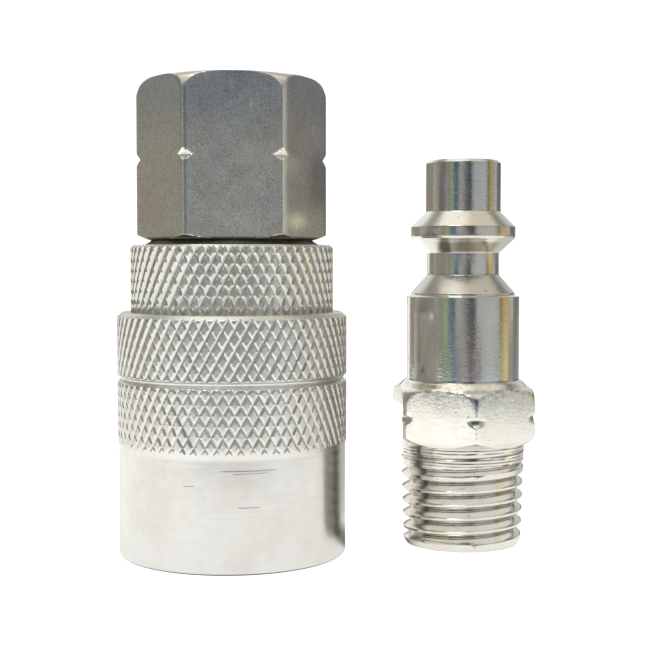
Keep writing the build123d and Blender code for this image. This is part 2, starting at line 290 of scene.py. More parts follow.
# ---------------------------------------------------------------------------
# hexagons, threads and knurls
# ---------------------------------------------------------------------------
def hex_phis(corner_deg):
    """Columns that crowd round the six corners of a turned hexagon."""
    crowded = [0.0, 0.28, 0.56, 0.84, 1.15, 1.55, 2.1, 2.9, 4.0, 5.3]
    step = (30 - 5.3) / 15
    half = crowded + [5.3 + step * (k + 1) for k in range(15)]
    offsets = sorted(set([-h for h in half] + half))[:-1]
    phis = [math.radians(corner_deg + 60 * k + o) for k in range(6) for o in offsets]
    return np.array(sorted(p % TAU for p in phis))


def hex_radius(phis, flats, face_deg, soft):
    sides = []
    for k in range(6):
        facing = np.cos(phis - math.radians(face_deg + 60 * k))
        sides.append(np.where(facing > 0.3, flats / 2 / np.maximum(facing, 0.3), 1e3))
    return smooth_min(sides, soft)


def thread_vee(phase, depth, half_flat):
    """Depth of the thread's V groove, with a flat at its root."""
    distance = np.minimum(phase, 1 - phase) * THREAD_PITCH
    return np.maximum(0.0, depth - np.maximum(0, distance - half_flat) * THREAD_FLANK)


# full: nominal depth; share: part of the pitch the groove takes; local: depth in
# each column.  A shallower local cut is a narrower groove with the same walls.
Groove = namedtuple("Groove", "full share local")


class Knurl:
    """Diamond knurl with its columns and row heights."""

    def __init__(self, count, radius):
        self.count = count
        self.pitch = TAU * radius / count
        self.lead = self.pitch / math.tan(math.radians(KNURL_ANGLE))
        columns = count * STEPS_PER_DIAMOND
        self.phis = np.arange(columns) * TAU / columns

    def heights(self, start, stop):
        step = self.lead / STEPS_PER_DIAMOND
        rows = []
        z = math.ceil(start / step) * step
        while z < stop:
            rows.append(z)
            z += step
        return rows

    def cut(self, z, falling, rising, seed):
        half = 0.5 * self.pitch * math.cos(math.radians(KNURL_ANGLE))
        around_axis = self.phis * self.count / TAU
        cuts = []
        for sign, groove, own_seed in ((-1, falling, seed), (1, rising, seed + 1)):
            phase = around_axis + sign * (z / self.lead)
            line = np.floor(phase + 0.5)
            # each groove is a little off its place and depth
            table = np.random.RandomState(own_seed).uniform(-1, 1, self.count)
            each = table[line.astype(int) % self.count]
            distance = np.abs(phase + 0.02 * each - line) * 2 * half
            distance = np.sqrt(distance * distance + 0.0009) - 0.012
            ripple = wave_noise(self.phis, z, waves=9, max_lobes=40, max_rise=1.2,
                                seed=own_seed + 7)
            deep = groove.local * (1 + 0.07 * each + 0.05 * ripple)
            wall = groove.full / (groove.share * half)
            cuts.append(np.maximum(0.0, deep - wall * distance))
        return np.maximum(cuts[0], cuts[1])


# ---------------------------------------------------------------------------
# sleeve
# ---------------------------------------------------------------------------
# Outside before knurling: (height, radius)
SLEEVE_BLANK = [
    (0.00, 11.36), (0.03, 11.45), (0.10, 11.56), (0.20, 11.65), (0.33, 11.70),
    (11.20, 11.70), (11.95, SLEEVE_RADIUS), (17.80, SLEEVE_RADIUS), (17.86, 11.76),
    (17.98, 11.64), (18.10, 11.47), (18.14, 11.45), (18.20, 11.45), (18.26, 11.52),
    (18.42, 11.58), (18.46, 11.62), (18.60, 11.77), (18.66, SLEEVE_RADIUS),
    (24.40, SLEEVE_RADIUS), (24.47, 11.78), (24.54, 11.72), (24.86, 11.38), (24.92, 11.30),
    (SLEEVE_TOP, 11.20)]
# Row heights of the skirt, the groove between the knurls, and the upper edge
SKIRT_ROWS = [0.0, 0.03, 0.06, 0.10, 0.15, 0.20, 0.26, 0.33, 0.45, 1.2, 2.4, 3.6, 4.8, 6.0,
              7.2, 8.4, 9.6, 10.6, 11.0]
GROOVE_ROWS = [17.86, 17.92, 17.98, 18.04, 18.10, 18.14, 18.20, 18.23, 18.26, 18.34, 18.42,
               18.46, 18.53, 18.60, 18.66]
SLEEVE_EDGE_ROWS = [24.40, 24.47, 24.54, 24.62, 24.70, 24.78, 24.86, 24.92, SLEEVE_TOP]
# Bore, from the top down: (radius, height)
SLEEVE_BORE = [(10.52, SLEEVE_TOP), (10.52, 12.10), (8.40, 12.10), (8.40, 9.30), (9.53, 4.00),
               (9.53, 2.40), (10.20, 2.40), (10.20, 0.0)]


def build_sleeve():
    knurl = Knurl(SLEEVE_GROOVES, SLEEVE_RADIUS)
    phis = knurl.phis
    # the grooves bite unevenly round the sleeve; left is -X, right is +X
    left = smoothstep(-np.sin(phis), 0.30, 0.85)
    right = smoothstep(np.sin(phis), 0.30, 0.85)
    ragged_start = 0.25 * wave_noise(phis, 0, waves=8, max_lobes=60, max_rise=0, seed=5)
    grid = Grid(len(phis))
    for z in (SKIRT_ROWS + knurl.heights(11.05, 17.82) + GROOVE_ROWS
              + knurl.heights(18.70, 24.36) + SLEEVE_EDGE_ROWS):
        base = outline_radius(z, SLEEVE_BLANK)
        r = np.full_like(phis, base)
        if 11.0 < z < 17.97:
            fade = smoothstep(z, 11.15, 12.2) * (1 - smoothstep(z, 17.80, 18.0))
            ragged = 1 + ragged_start * (1 - smoothstep(z, 11.6, 12.6))
            deep = 0.165 * fade * ragged
            cut = knurl.cut(z, Groove(full=0.165, share=0.36, local=deep * (1 - 0.40 * right)),
                            Groove(full=0.165, share=0.35, local=deep * (1 - 0.45 * left)),
                            seed=21)
            r = np.minimum(SLEEVE_RADIUS - cut, base)
        elif 18.5 < z < 24.70:
            fade = smoothstep(z, 18.40, 18.75)
            falling = 0.19 * fade * (1 - 0.42 * right)
            rising = 0.13 * fade * (1 - 0.45 * left + 0.25 * right)
            cut = knurl.cut(z, Groove(full=0.19, share=0.40, local=falling),
                            Groove(full=0.15, share=0.34, local=rising), seed=31)
            r = np.minimum(SLEEVE_RADIUS - cut, base)
        elif z <= 11.0:
            r = base + 0.004 * wave_noise(phis, z, waves=6, max_lobes=7, max_rise=0.4, seed=3)
        grid.add(polar(r, phis, z), r)
    grid.add(polar(11.10, phis, SLEEVE_TOP))
    # the bore needs only every sixth column
    few = phis[::6]
    grid.recolumn(polar(11.00, few, SLEEVE_TOP))
    grid.add_profile(round_profile(SLEEVE_BORE, 0.09), few)
    grid.add(polar(10.60, few, 0.0))
    grid.close()
    return make_object("knurled_sleeve", *grid.data(), sharp=26)


# ---------------------------------------------------------------------------
# barrel with its knurled collar
# ---------------------------------------------------------------------------
# Outside below the collar, upwards: (radius, height)
BARREL_OUTSIDE = [(6.60, 0.0), (7.85, 0.0), (8.25, 0.40), (8.25, 0.58), (7.75, 0.58),
                  (7.75, 1.52), (8.25, 1.52), (8.25, 21.60), (10.02, 21.60)]
# Collar before knurling: (height, radius)
COLLAR_BLANK = [(21.60, 10.02), (21.95, 10.36), (22.0, COLLAR_RADIUS), (31.38, COLLAR_RADIUS),
                (31.46, 10.38), (31.55, 10.33), (31.70, 10.18), (31.76, 10.08),
                (COLLAR_TOP, 9.96)]
COLLAR_START_ROWS = [21.66, 21.75, 21.85, 21.95]
COLLAR_END_ROWS = [31.38, 31.46, 31.50, 31.55, 31.62, 31.70, 31.76, COLLAR_TOP]
# Bore, from the top down: (radius, height)
BARREL_BORE = [
    (9.6, COLLAR_TOP), (8.03, COLLAR_TOP), (8.03, 24.90), (7.00, 24.90), (7.00, 17.80),
    (6.60, 17.80), (6.60, 15.00), (4.35, 15.00), (4.35, 14.70), (6.12, 13.30), (6.12, 6.90),
    (6.50, 6.90), (6.50, 6.20), (6.06, 6.20), (6.06, 0.45), (6.60, 0.0)]


def build_barrel():
    knurl = Knurl(COLLAR_GROOVES, COLLAR_RADIUS)
    phis = knurl.phis
    grid = Grid(len(phis))
    # far points steer the rounding of the end corners and are then dropped
    outside = round_profile(BARREL_OUTSIDE + [(9.5, 30.0), (6.6, 30.0)], 0.05)
    grid.add_profile([(r, z) for r, z in outside if z < 22.0], phis)
    # left is -X, right is +X
    left = smoothstep(-np.sin(phis), 0.15, 0.80)
    right = smoothstep(np.sin(phis), 0.15, 0.80)
    for z in COLLAR_START_ROWS + knurl.heights(22.0, 31.34) + COLLAR_END_ROWS:
        deep = 0.27 * smoothstep(z, 21.7, 22.2) * (1 - 0.35 * smoothstep(z, 31.2, 31.7))
        upper = smoothstep(z, 25.0, 27.5)
        falling = deep * (1 - 0.42 * right)
        rising = deep * 0.92 * (1 - 0.50 * left * upper)
        cut = knurl.cut(z, Groove(full=0.27, share=0.56, local=falling),
                        Groove(full=0.27, share=0.54, local=rising), seed=41)
        r = np.minimum(COLLAR_RADIUS - cut, outline_radius(z, COLLAR_BLANK))
        grid.add(polar(r, phis, z), r)
    bore = round_profile(BARREL_BORE + [(9.0, -5.0), (9.6, 20.0)], 0.04)
    bore = [(r, z) for r, z in bore if not (r > 8.6 and z < 31.7) and z >= -1e-6]
    grid.add(polar(9.80, phis, COLLAR_TOP))
    # the bore needs only every seventh column
    few = phis[::7]
    grid.recolumn(polar(9.60, few, COLLAR_TOP))
    grid.add_profile(bore[1:], few)
    grid.close()
    obj = make_object("barrel_with_collar", *grid.data(), sharp=26)
    bore_ball_holes(obj)
    return obj


def ball_hole_cutter(segments=40, seat_steps=12):
    """One cutter for all ball holes: radial cylinders with a spherical inner end."""
    # (radius, distance outwards from the ball centre)
    profile = [(0.0, -BALL_SEAT_RADIUS)]
    for s in range(1, seat_steps + 1):
        t = math.pi / 2 * s / seat_steps
        profile.append((BALL_SEAT_RADIUS * math.sin(t), -BALL_SEAT_RADIUS * math.cos(t)))
    profile += [(BALL_HOLE_RADIUS, 0.02), (BALL_HOLE_RADIUS, BALL_HOLE_REACH),
                (0.0, BALL_HOLE_REACH)]
    bm = bmesh.new()
    up = Vector((0, 0, 1))
    for k in range(BALL_COUNT):
        a = TAU * k / BALL_COUNT
        centre = Vector((BALL_CIRCLE * math.cos(a), BALL_CIRCLE * math.sin(a), BALL_HEIGHT)) * MM
        outward = Vector((math.cos(a), math.sin(a), 0))
        side = Vector((-math.sin(a), math.cos(a), 0))
        rings = []
        for r, along in profile:
            if r == 0:
                rings.append([bm.verts.new(centre + outward * along * MM)])
                continue
            rings.append([bm.verts.new(centre + outward * along * MM
                                       + (side * math.cos(TAU * i / segments)
                                          + up * math.sin(TAU * i / segments)) * r * MM)
                          for i in range(segments)])
        for ring, after in zip(rings, rings[1:]):
            for i in range(segments):
                j = (i + 1) % segments
                if len(ring) == 1:
                    bm.faces.new((ring[0], after[j], after[i]))
                elif len(after) == 1:
                    bm.faces.new((ring[i], ring[j], after[0]))
                else:
                    bm.faces.new((ring[i], ring[j], after[j], after[i]))
    bmesh.ops.recalc_face_normals(bm, faces=bm.faces)
    mesh = bpy.data.meshes.new("ball_hole_cutter")
    bm.to_mesh(mesh)
    bm.free()
    return link_object("ball_hole_cutter", mesh)


def bore_ball_holes(obj):
    cutter = ball_hole_cutter()
    mod = obj.modifiers.new("holes", "BOOLEAN")
    mod.object, mod.operation, mod.solver = cutter, "DIFFERENCE", "EXACT"
    bpy.context.view_layer.update()
    depsgraph = bpy.context.evaluated_depsgraph_get()
    bored = bpy.data.meshes.new_from_object(obj.evaluated_get(depsgraph))
    obj.modifiers.clear()
    obj.data = bored
    bpy.data.objects.remove(cutter)
    bored.name = "barrel_with_collar"
    bored.shade_smooth()
    bored.set_sharp_from_angle(angle=math.radians(26))


# ---------------------------------------------------------------------------
# hexagon adapter
# ---------------------------------------------------------------------------
# Spigot below the hexagon, upwards: (radius, height)
SPIGOT = [(6.05, 25.0), (7.75, 25.0), (8.0, 25.25), (8.0, 26.2), (7.08, 26.2), (7.08, 27.3),
          (8.0, 27.3), (8.0, 31.80), (8.80, 31.81), (8.86, 31.86), (8.42, 32.10),
          (8.25, 32.29), (8.3, 32.30)]
# Bore below the thread, downwards: (radius, height)
ADAPTER_BORE = [(5.62, 35.42), (5.0, 35.40), (5.0, 32.42), (6.05, 32.42), (6.05, 25.05)]


def adapter_thread(z, phase, _phi):
    """Female thread, running out downwards, with a countersink at the mouth."""
    minor = 5.65 + (z - 35.4) * THREAD_TAPER
    depth = 0.98 * np.clip((z - 36.6) / 2.2, 0, 1)
    countersink = 6.90 - (48.40 - z) * 0.95
    return np.maximum(minor + thread_vee(phase, depth, half_flat=0.03),
                      np.where(z > 47.0, countersink, 0))


def build_adapter():
    phis = hex_phis(corner_deg=ADAPTER_TURN + 30.0)
    flat = hex_radius(phis, ADAPTER_FLATS, face_deg=ADAPTER_TURN, soft=0.13)
    grid = Grid(len(phis))
    spigot = round_profile(SPIGOT + [(8.3, 40.0), (6.05, 40.0)], 0.05)
    grid.add_profile([(r, z) for r, z in spigot if z < 32.295], phis)
    rows = [32.30, 32.34] + list(np.arange(32.40, 33.21, 0.08))
    rows += [33.5, 34.5, 36, 37.5, 39.0, 39.6] + list(np.arange(39.74, 41.17, 0.05))
    rows += [41.4, 42.5, 44, 45.5, 46.0] + list(np.arange(46.2, 48.3, 0.085))
    rows += [48.36, 48.41, 48.46, 48.485, 48.50]
    for z in rows:
        base = outline_radius(z, ADAPTER_BLANK)
        notch = NOTCH_RADIUS + abs(z - NOTCH_HEIGHT) * NOTCH_SLOPE + 0.016 * math.sin(z * 34)
        r = smooth_min([flat, base, notch], 0.028)
        if 33.2 < z < 46.0:
            r = r + 0.006 * wave_noise(phis, z, waves=8, max_lobes=9, max_rise=0.5, seed=14)
        grid.add(polar(r, phis, z), r)
    # mouth of the port, then the thread and the bore
    grid.add_profile([(8.2, 48.50), (7.1, 48.50), (7.0, 48.48), (6.93, 48.42)], phis)
    grid.add_helix(phis, 35.45, 48.38, 10, adapter_thread, down=True)
    grid.add_profile(round_profile(ADAPTER_BORE, 0.04)[1:-1], phis)
    grid.close()
    return make_object("hexagon_adapter", *grid.data(), sharp=24)


# ---------------------------------------------------------------------------
# plug
# ---------------------------------------------------------------------------
# Turned outline that trims the plug's hexagon: (height, radius)
PLUG_BLANK = [
    (10.90, 6.86), (10.95, 7.05), (11.35, 7.62), (11.90, 8.20), (12.2, 8.6), (14.5, 8.6),
    (14.8, 8.15), (15.05, 8.05), (15.6, 7.95), (16.0, 7.86), (16.28, 7.74), (16.50, 7.60),
    (16.62, 7.48), (16.72, 7.28), (16.80, 7.00), (16.95, 6.80), (17.25, 6.50), (17.45, 6.30),
    (17.55, 6.14)]
# Nose above the hexagon, over the tip and down the bore: (radius, height, own rounding)
PLUG_NOSE = [
    (6.02, 17.58), (5.98, 17.75), (5.98, 26.40), (5.48, 26.56), (5.48, 26.76),
    (3.81, 28.69, 0.24), (3.81, 31.00), (5.44, 32.52), (5.53, 32.72, 0.25),
    (5.53, 33.77, 0.20), (3.97, 35.33, 0.26), (3.97, 40.46), (3.68, 40.76), (3.28, 40.76),
    (2.70, 40.30), (2.70, 13.20), (3.90, 12.00), (3.90, 0.10)]


def plug_thread(z, phase, phi):
    """Male thread, fading out upwards, with chatter rings at its upper end."""
    blank = 6.62 - (10.9 - z) * THREAD_TAPER
    chamfer = 5.92 + z * 0.62
    depth = 0.88 * (1 - smoothstep(z, 6.8, 10.3) * 0.90) * smoothstep(z, 0.1, 1.1)
    depth = depth * (1 - smoothstep(z, 10.3, 10.8))
    groove = blank - thread_vee(phase, depth, half_flat=0.055)
    crest = smooth_min([np.minimum(blank, chamfer), groove], 0.028)
    rings = 1 + np.sin(z * TAU / 0.31 + 0.3 * np.sin(phi * 2))
    crest = crest - 0.007 * smoothstep(z, 8.6, 9.4) * rings
    dent = 0.02 * wave_noise(phi, z, waves=14, max_lobes=30, max_rise=5.0, seed=77)
    return crest + dent * (phase > 0.25) * (phase < 0.75)


def plug_notch(z):
    """Radius of the groove turned round the hexagon's corners."""
    below = 13.96 - z
    if below < 0:
        return 7.67 - below * 2.1
    hollow = math.sqrt(max(0.0, 0.53 - below * below)) / 1.73
    return 8.10 - hollow + max(0.0, below - 0.728) * 0.78


def build_plug():
    phis = hex_phis(corner_deg=PLUG_TURN)
    flat = hex_radius(phis, PLUG_FLATS, face_deg=PLUG_TURN + 30.0, soft=0.12)
    grid = Grid(len(phis))
    grid.add_profile([(4.05, 0.03), (4.2, 0.0), (5.75, 0.0)], phis)
    grid.add_helix(phis, 0.02, 10.86, 14, plug_thread)
    grid.add_profile([(6.3, 10.89)], phis)
    rows = [10.90, 10.95] + list(np.arange(11.02, 12.3, 0.09)) + [12.5, 12.8, 13.1]
    rows += list(np.arange(13.22, 14.62, 0.07)) + list(np.arange(14.66, 17.5, 0.10))
    rows += [17.5, 17.55]
    for z in rows:
        r = smooth_min([flat, outline_radius(z, PLUG_BLANK), plug_notch(z)], 0.03)
        r = r + 0.006 * wave_noise(phis, z, waves=8, max_lobes=9, max_rise=0.9, seed=15)
        grid.add(polar(r, phis, z), r)
    nose = round_profile([(6.02, 5.0)] + PLUG_NOSE + [(3.9, -5.0)], 0.08, 5)
    grid.add_profile([(r, z) for r, z in nose if z > 0.09 and not (r > 5.99 and z < 17.5)], phis)
    grid.close()
    return make_object("plug_nipple", *grid.data(), PLUG_X, PLUG_Y, sharp=22)


# ---------------------------------------------------------------------------
# springs
# ---------------------------------------------------------------------------
def build_spring(name, mean_radius, wire_radius, z0, z1, active, sides=14, per_turn=56):
    """Round wire with one closed turn at each end, its ends ground flat."""
    total = active + 2
    t = np.linspace(0, total, int(total * per_turn) + 1)
    lift = np.clip(t - 1, 0, active) / active
    low, high = z0 + wire_radius * 0.62, z1 - wire_radius * 0.62
    closed_rise = wire_radius * 2 * 0.96
    height = (low + closed_rise * np.clip(t, 0, 1)
              + (high - low - 2 * closed_rise) * lift
              + closed_rise * np.clip(t - 1 - active, 0, 1))
    angle = t * TAU
    centre = np.stack([mean_radius * np.cos(angle), mean_radius * np.sin(angle), height], -1)
    radial = np.stack([np.cos(angle), np.sin(angle), 0 * angle], -1)
    up = np.array([0, 0, 1.0])
    turn = np.arange(sides) * TAU / sides
    points = centre[:, None, :] + wire_radius * (
        np.cos(turn)[None, :, None] * radial[:, None, :] + np.sin(turn)[None, :, None] * up)
    points[..., 2] = np.clip(points[..., 2], z0, z1)
    ids = np.arange(len(t) * sides).reshape(len(t), sides)
    a, b = ids[:-1], ids[1:]
    faces = np.stack([a, b, np.roll(b, -1, 1), np.roll(a, -1, 1)], -1).reshape(-1, 4).tolist()
    faces += [ids[0].tolist(), ids[-1][::-1].tolist()]
    return make_object(name, points.reshape(-1, 3), faces, sharp=40, merge=1e-5)


# ---------------------------------------------------------------------------
# shader helpers
# ---------------------------------------------------------------------------
def add_node(tree, kind, inputs=None, **props):
    node = tree.nodes.new("ShaderNode" + kind)
    for key, value in props.items():
        setattr(node, key, value)
    for key, value in (inputs or {}).items():
        socket = node.inputs[key]
        if isinstance(value, Value):
            tree.links.new(value.socket, socket)
        elif socket.type == "RGBA":
            socket.default_value = (*value, 1)
        else:
            socket.default_value = value
    return node


def tree_of(values):
    return next(v.tree for v in values if isinstance(v, Value))


def math_node(operation, *values):
    node = add_node(tree_of(values), "Math", dict(enumerate(values)), operation=operation)
    return Value(node.outputs[0])


def operator(operation, swapped=False):
    if swapped:
        return lambda self, other: math_node(operation, other, self)
    return lambda self, other: math_node(operation, self, other)


class Value:
    """Output of a node; arithmetic on it adds math nodes to its tree."""

    def __init__(self, socket):
        self.socket = socket
        self.tree = socket.id_data

    __add__ = operator("ADD")
    __radd__ = operator("ADD", swapped=True)
    __sub__ = operator("SUBTRACT")
    __rsub__ = operator("SUBTRACT", swapped=True)
    __mul__ = operator("MULTIPLY")
    __truediv__ = operator("DIVIDE")
    __lt__ = operator("LESS_THAN")
    __gt__ = operator("GREATER_THAN")

    def __abs__(self):
        return math_node("ABSOLUTE", self)

    def ramp(self, zero, one, to=(0.0, 1.0), smooth=True):
        """Clamped run from to[0] where the value is zero to to[1] where it is one."""
        node = add_node(self.tree, "MapRange", {0: self, 1: zero, 2: one, 3: to[0], 4: to[1]},
                        clamp=True, interpolation_type="SMOOTHSTEP" if smooth else "LINEAR")
        return Value(node.outputs[0])

    def band(self, rise, fall):
        """Mask that goes up over the first span and down over the second."""
        return self.ramp(*rise) * self.ramp(fall[1], fall[0])


def maximum(a, b):
    return math_node("MAXIMUM", a, b)


def length(a, b):
    return math_node("SQRT", a * a + b * b)


def source(tree, kind, output):
    return Value(add_node(tree, kind).outputs[output])


def split(vector):
    return [Value(s) for s in add_node(vector.tree, "SeparateXYZ", {0: vector}).outputs]


def mix(fac, a, b, blend="MIX"):
    node = add_node(tree_of((fac, a, b)), "Mix", {0: fac, 6: a, 7: b},
                    data_type="RGBA", blend_type=blend, clamp_factor=True)
    return Value(node.outputs[2])


def multiply(color, by):
    return mix(1.0, color, by, blend="MULTIPLY")


def toned(color, mask, by):
    """Colour multiplied by another where the mask is on."""
    return mix(mask, color, multiply(color, by))


def noise_node(vector, scale, detail=3.0, rough=0.5):
    return add_node(vector.tree, "TexNoise", {"Vector": vector, "Scale": scale,
                                              "Detail": detail, "Roughness": rough})


def noise(vector, scale, detail=3.0, rough=0.5):
    return Value(noise_node(vector, scale, detail, rough).outputs["Fac"])


def stretched_noise(vector, scales, detail, rough):
    """Noise with its own scale along x, y and z."""
    mapping = add_node(vector.tree, "Mapping", {"Vector": vector, "Scale": scales})
    return noise(Value(mapping.outputs["Vector"]), 1.0, detail, rough)


def colour_ramp(fac, stops):
    """Linear colour ramp from (position, colour) stops, the first at 0."""
    node = add_node(fac.tree, "ValToRGB", {0: fac})
    ramp = node.color_ramp
    ramp.interpolation = "LINEAR"
    while len(ramp.elements) > 1:
        ramp.elements.remove(ramp.elements[-1])
    ramp.elements[0].position = 0.0
    for k, (position, color) in enumerate(stops):
        stop = ramp.elements[0] if k == 0 else ramp.elements.new(position)
        stop.color = (*color, 1)
    return Value(node.outputs[0])


def new_material(name):
    mat = bpy.data.materials.new(name)
    mat.use_nodes = True
    mat.node_tree.nodes.clear()
    return mat, mat.node_tree


def add_output(tree, shader, kind="OutputMaterial"):
    add_node(tree, kind, {0: Value(shader.outputs[0])})


def add_surface(tree, color, rough, metallic, height, bump_strength):
    bump = add_node(tree, "Bump", {"Strength": bump_strength, "Distance": 0.001,
                                   "Height": height})
    add_output(tree, add_node(tree, "BsdfPrincipled", {
        "Base Color": color, "Roughness": rough, "Metallic": metallic,
        "Normal": Value(bump.outputs[0])}))


def around(coords):
    """Distance from the axis and height, both in metres."""
    x, y, z = split(coords)
    return length(x, y), z


def on_outline(rad, z, stations, slack=0.000012):
    """Mask of the surface that lies on an outline of (mm height, mm radius)."""
    full = 20  # millimetres that the ramp's white stands for
    lo, hi = stations[0][0], stations[-1][0]
    stops = [((height - lo) / (hi - lo), (radius / full,) * 3) for height, radius in stations]
    outline = colour_ramp(z.ramp(zero=lo * MM, one=hi * MM, smooth=False), stops) * (full * MM)
    near = (rad - outline).ramp(zero=-4 * slack, one=-1.5 * slack)
    return near * (z > lo * MM) * (z < hi * MM + 0.00002)


# ---------------------------------------------------------------------------
# materials
# ---------------------------------------------------------------------------
def metal(name, color, rough, turned, grain, mottle, wear=0.5, dirt=0.0,
          warm=(1.0, 0.97, 0.90), extra=None):
    """Plated or turned metal.  turned: lines round the axis; grain: fine bumps;
    mottle: cloudy patches; wear: bright edges; dirt: dark recesses; warm: tint of
    the large patches; extra: function that adds the piece's own marks and painted shade and
    highlights."""
    mat, tree = new_material(name)
    coords = source(tree, "TexCoord", "Object")
    big = noise(coords, scale=170, detail=3, rough=0.55)
    mid = noise(coords, scale=900, detail=4, rough=0.6)
    fine = noise(coords, scale=5200, detail=3, rough=0.6)
    lines = stretched_noise(coords, (60, 60, 5200), detail=2.5, rough=0.6)
    wide_lines = stretched_noise(coords, (25, 25, 1400), detail=2.0, rough=0.5)
    pointiness = source(tree, "NewGeometry", "Pointiness")
    edge = pointiness.ramp(zero=0.52, one=0.60)
    cave = pointiness.ramp(zero=0.50, one=0.42)

    tint = mix(big.ramp(zero=0.35, one=0.68), color, tuple(c * w for c, w in zip(color, warm)))
    tint = mix(mid.ramp(zero=0.42, one=0.72) * (mottle * 3.0), tint,
               tuple(c * 0.80 for c in color))
    tint = mix(edge * (0.55 * wear), tint, (0.95, 0.93, 0.89))
    tint = mix(cave * dirt, tint, (0.20, 0.18, 0.15))

    rough = rough + (mid - 0.5) * (0.16 * (0.4 + mottle * 4))
    rough = rough + (lines - 0.5) * (0.14 * turned)
    rough = rough - edge * (0.10 * wear)
    rough = rough + cave * (0.25 * dirt)

    # bump heights in bump units of one millimetre
    height = ((lines * (0.0009 * turned) + wide_lines * (0.0022 * turned))
              + (fine * (0.0016 * grain) + mid * (0.0040 * grain)))
    if extra is not None:
        tint, rough, height = extra(coords, tint, rough, height)
    add_surface(tree, tint, maximum(rough, 0.06), metallic=1.0, height=height,
                bump_strength=1.0)
    return mat


def rubber(name):
    mat, tree = new_material(name)
    coords = source(tree, "TexCoord", "Object")
    mid = noise(coords, scale=700, detail=4, rough=0.6)
    fine = noise(coords, scale=6000, detail=3, rough=0.6)
    add_surface(tree, mix(mid, (0.012, 0.012, 0.013), (0.030, 0.029, 0.028)),
                mid.ramp(zero=0.3, one=0.7, to=(0.42, 0.60)), metallic=0.0,
                height=fine * 0.006, bump_strength=0.6)
    return mat


def paint_gap_shade(coords, tint, rough, height):
    """Painted shade in the slot between the collar and the hexagon."""
    rad, z = around(coords)
    mask = (z.ramp(zero=0.03262, one=0.03240) * rad.ramp(zero=0.00905, one=0.00888)
            * z.ramp(zero=0.02900, one=0.03050))
    return mix(mask, tint, (0.24, 0.23, 0.185)), rough + mask * 0.40, height


def hex_extra(coords, tint, rough, height):
    # painted shade in the slot above the collar
    tint, rough, height = paint_gap_shade(coords, tint, rough, height)
    # grey specks and a sandy grain, slightly coloured
    speck = noise(coords, scale=3300, detail=2, rough=0.7)
    tint = mix(speck.ramp(zero=0.50, one=0.74, to=(0.0, 0.45)), tint, (0.45, 0.45, 0.44))
    sand = noise_node(coords, scale=7000, detail=1.5)
    grains = Value(sand.outputs["Fac"])
    tint = multiply(tint, grains.ramp(zero=0.30, one=0.70, to=(0.76, 1.18), smooth=False))
    tint = multiply(tint, mix(0.26, (1, 1, 1), Value(sand.outputs["Color"])))
    # painted shade: darker and bluish towards the top, with a cloudy limit
    rad, z = around(coords)
    blue = (z + noise(coords, scale=260) * 0.003).ramp(zero=0.0425, one=0.0485)
    tint = toned(tint, blue * 0.8, (0.74, 0.80, 0.92))
    # bright turned surfaces, partly a painted highlight: the notch and both rims
    notch_z = NOTCH_HEIGHT * MM
    notch = rad - (NOTCH_RADIUS * MM + abs(z - notch_z) * NOTCH_SLOPE)
    turned_and_highlit = (notch.ramp(zero=-0.00005, one=-0.00002)
             * abs(z - notch_z).ramp(zero=0.00070, one=0.00063))
    rims = maximum(on_outline(rad, z, UPPER_RIM), on_outline(rad, z, LOWER_RIM, slack=0.00003))
    turned_and_highlit = maximum(turned_and_highlit, rims)
    tint = mix(turned_and_highlit, tint, (0.97, 0.95, 0.90))
    rough = rough - turned_and_highlit * 0.12
    cloud = noise(coords, scale=420, detail=4, rough=0.6)
    rough = rough + (cloud - 0.5) * 0.22
    tint, rough, height, nick = hex_flat_marks_and_painted_light(coords, z, tint, rough, height)
    # painted shade on the right of the rear half
    rad = around(coords)[0]
    x, y, _ = split(coords)
    rear_right_shade = (y.ramp(zero=-0.0003, one=0.0003) * x.ramp(zero=0.0050, one=0.0056)
             * rad.ramp(zero=0.0082, one=0.0084))
    tint = toned(tint, rear_right_shade, (0.66, 0.655, 0.65))
    height = height + speck * 0.0030 - nick * 0.008
    return tint, rough, height


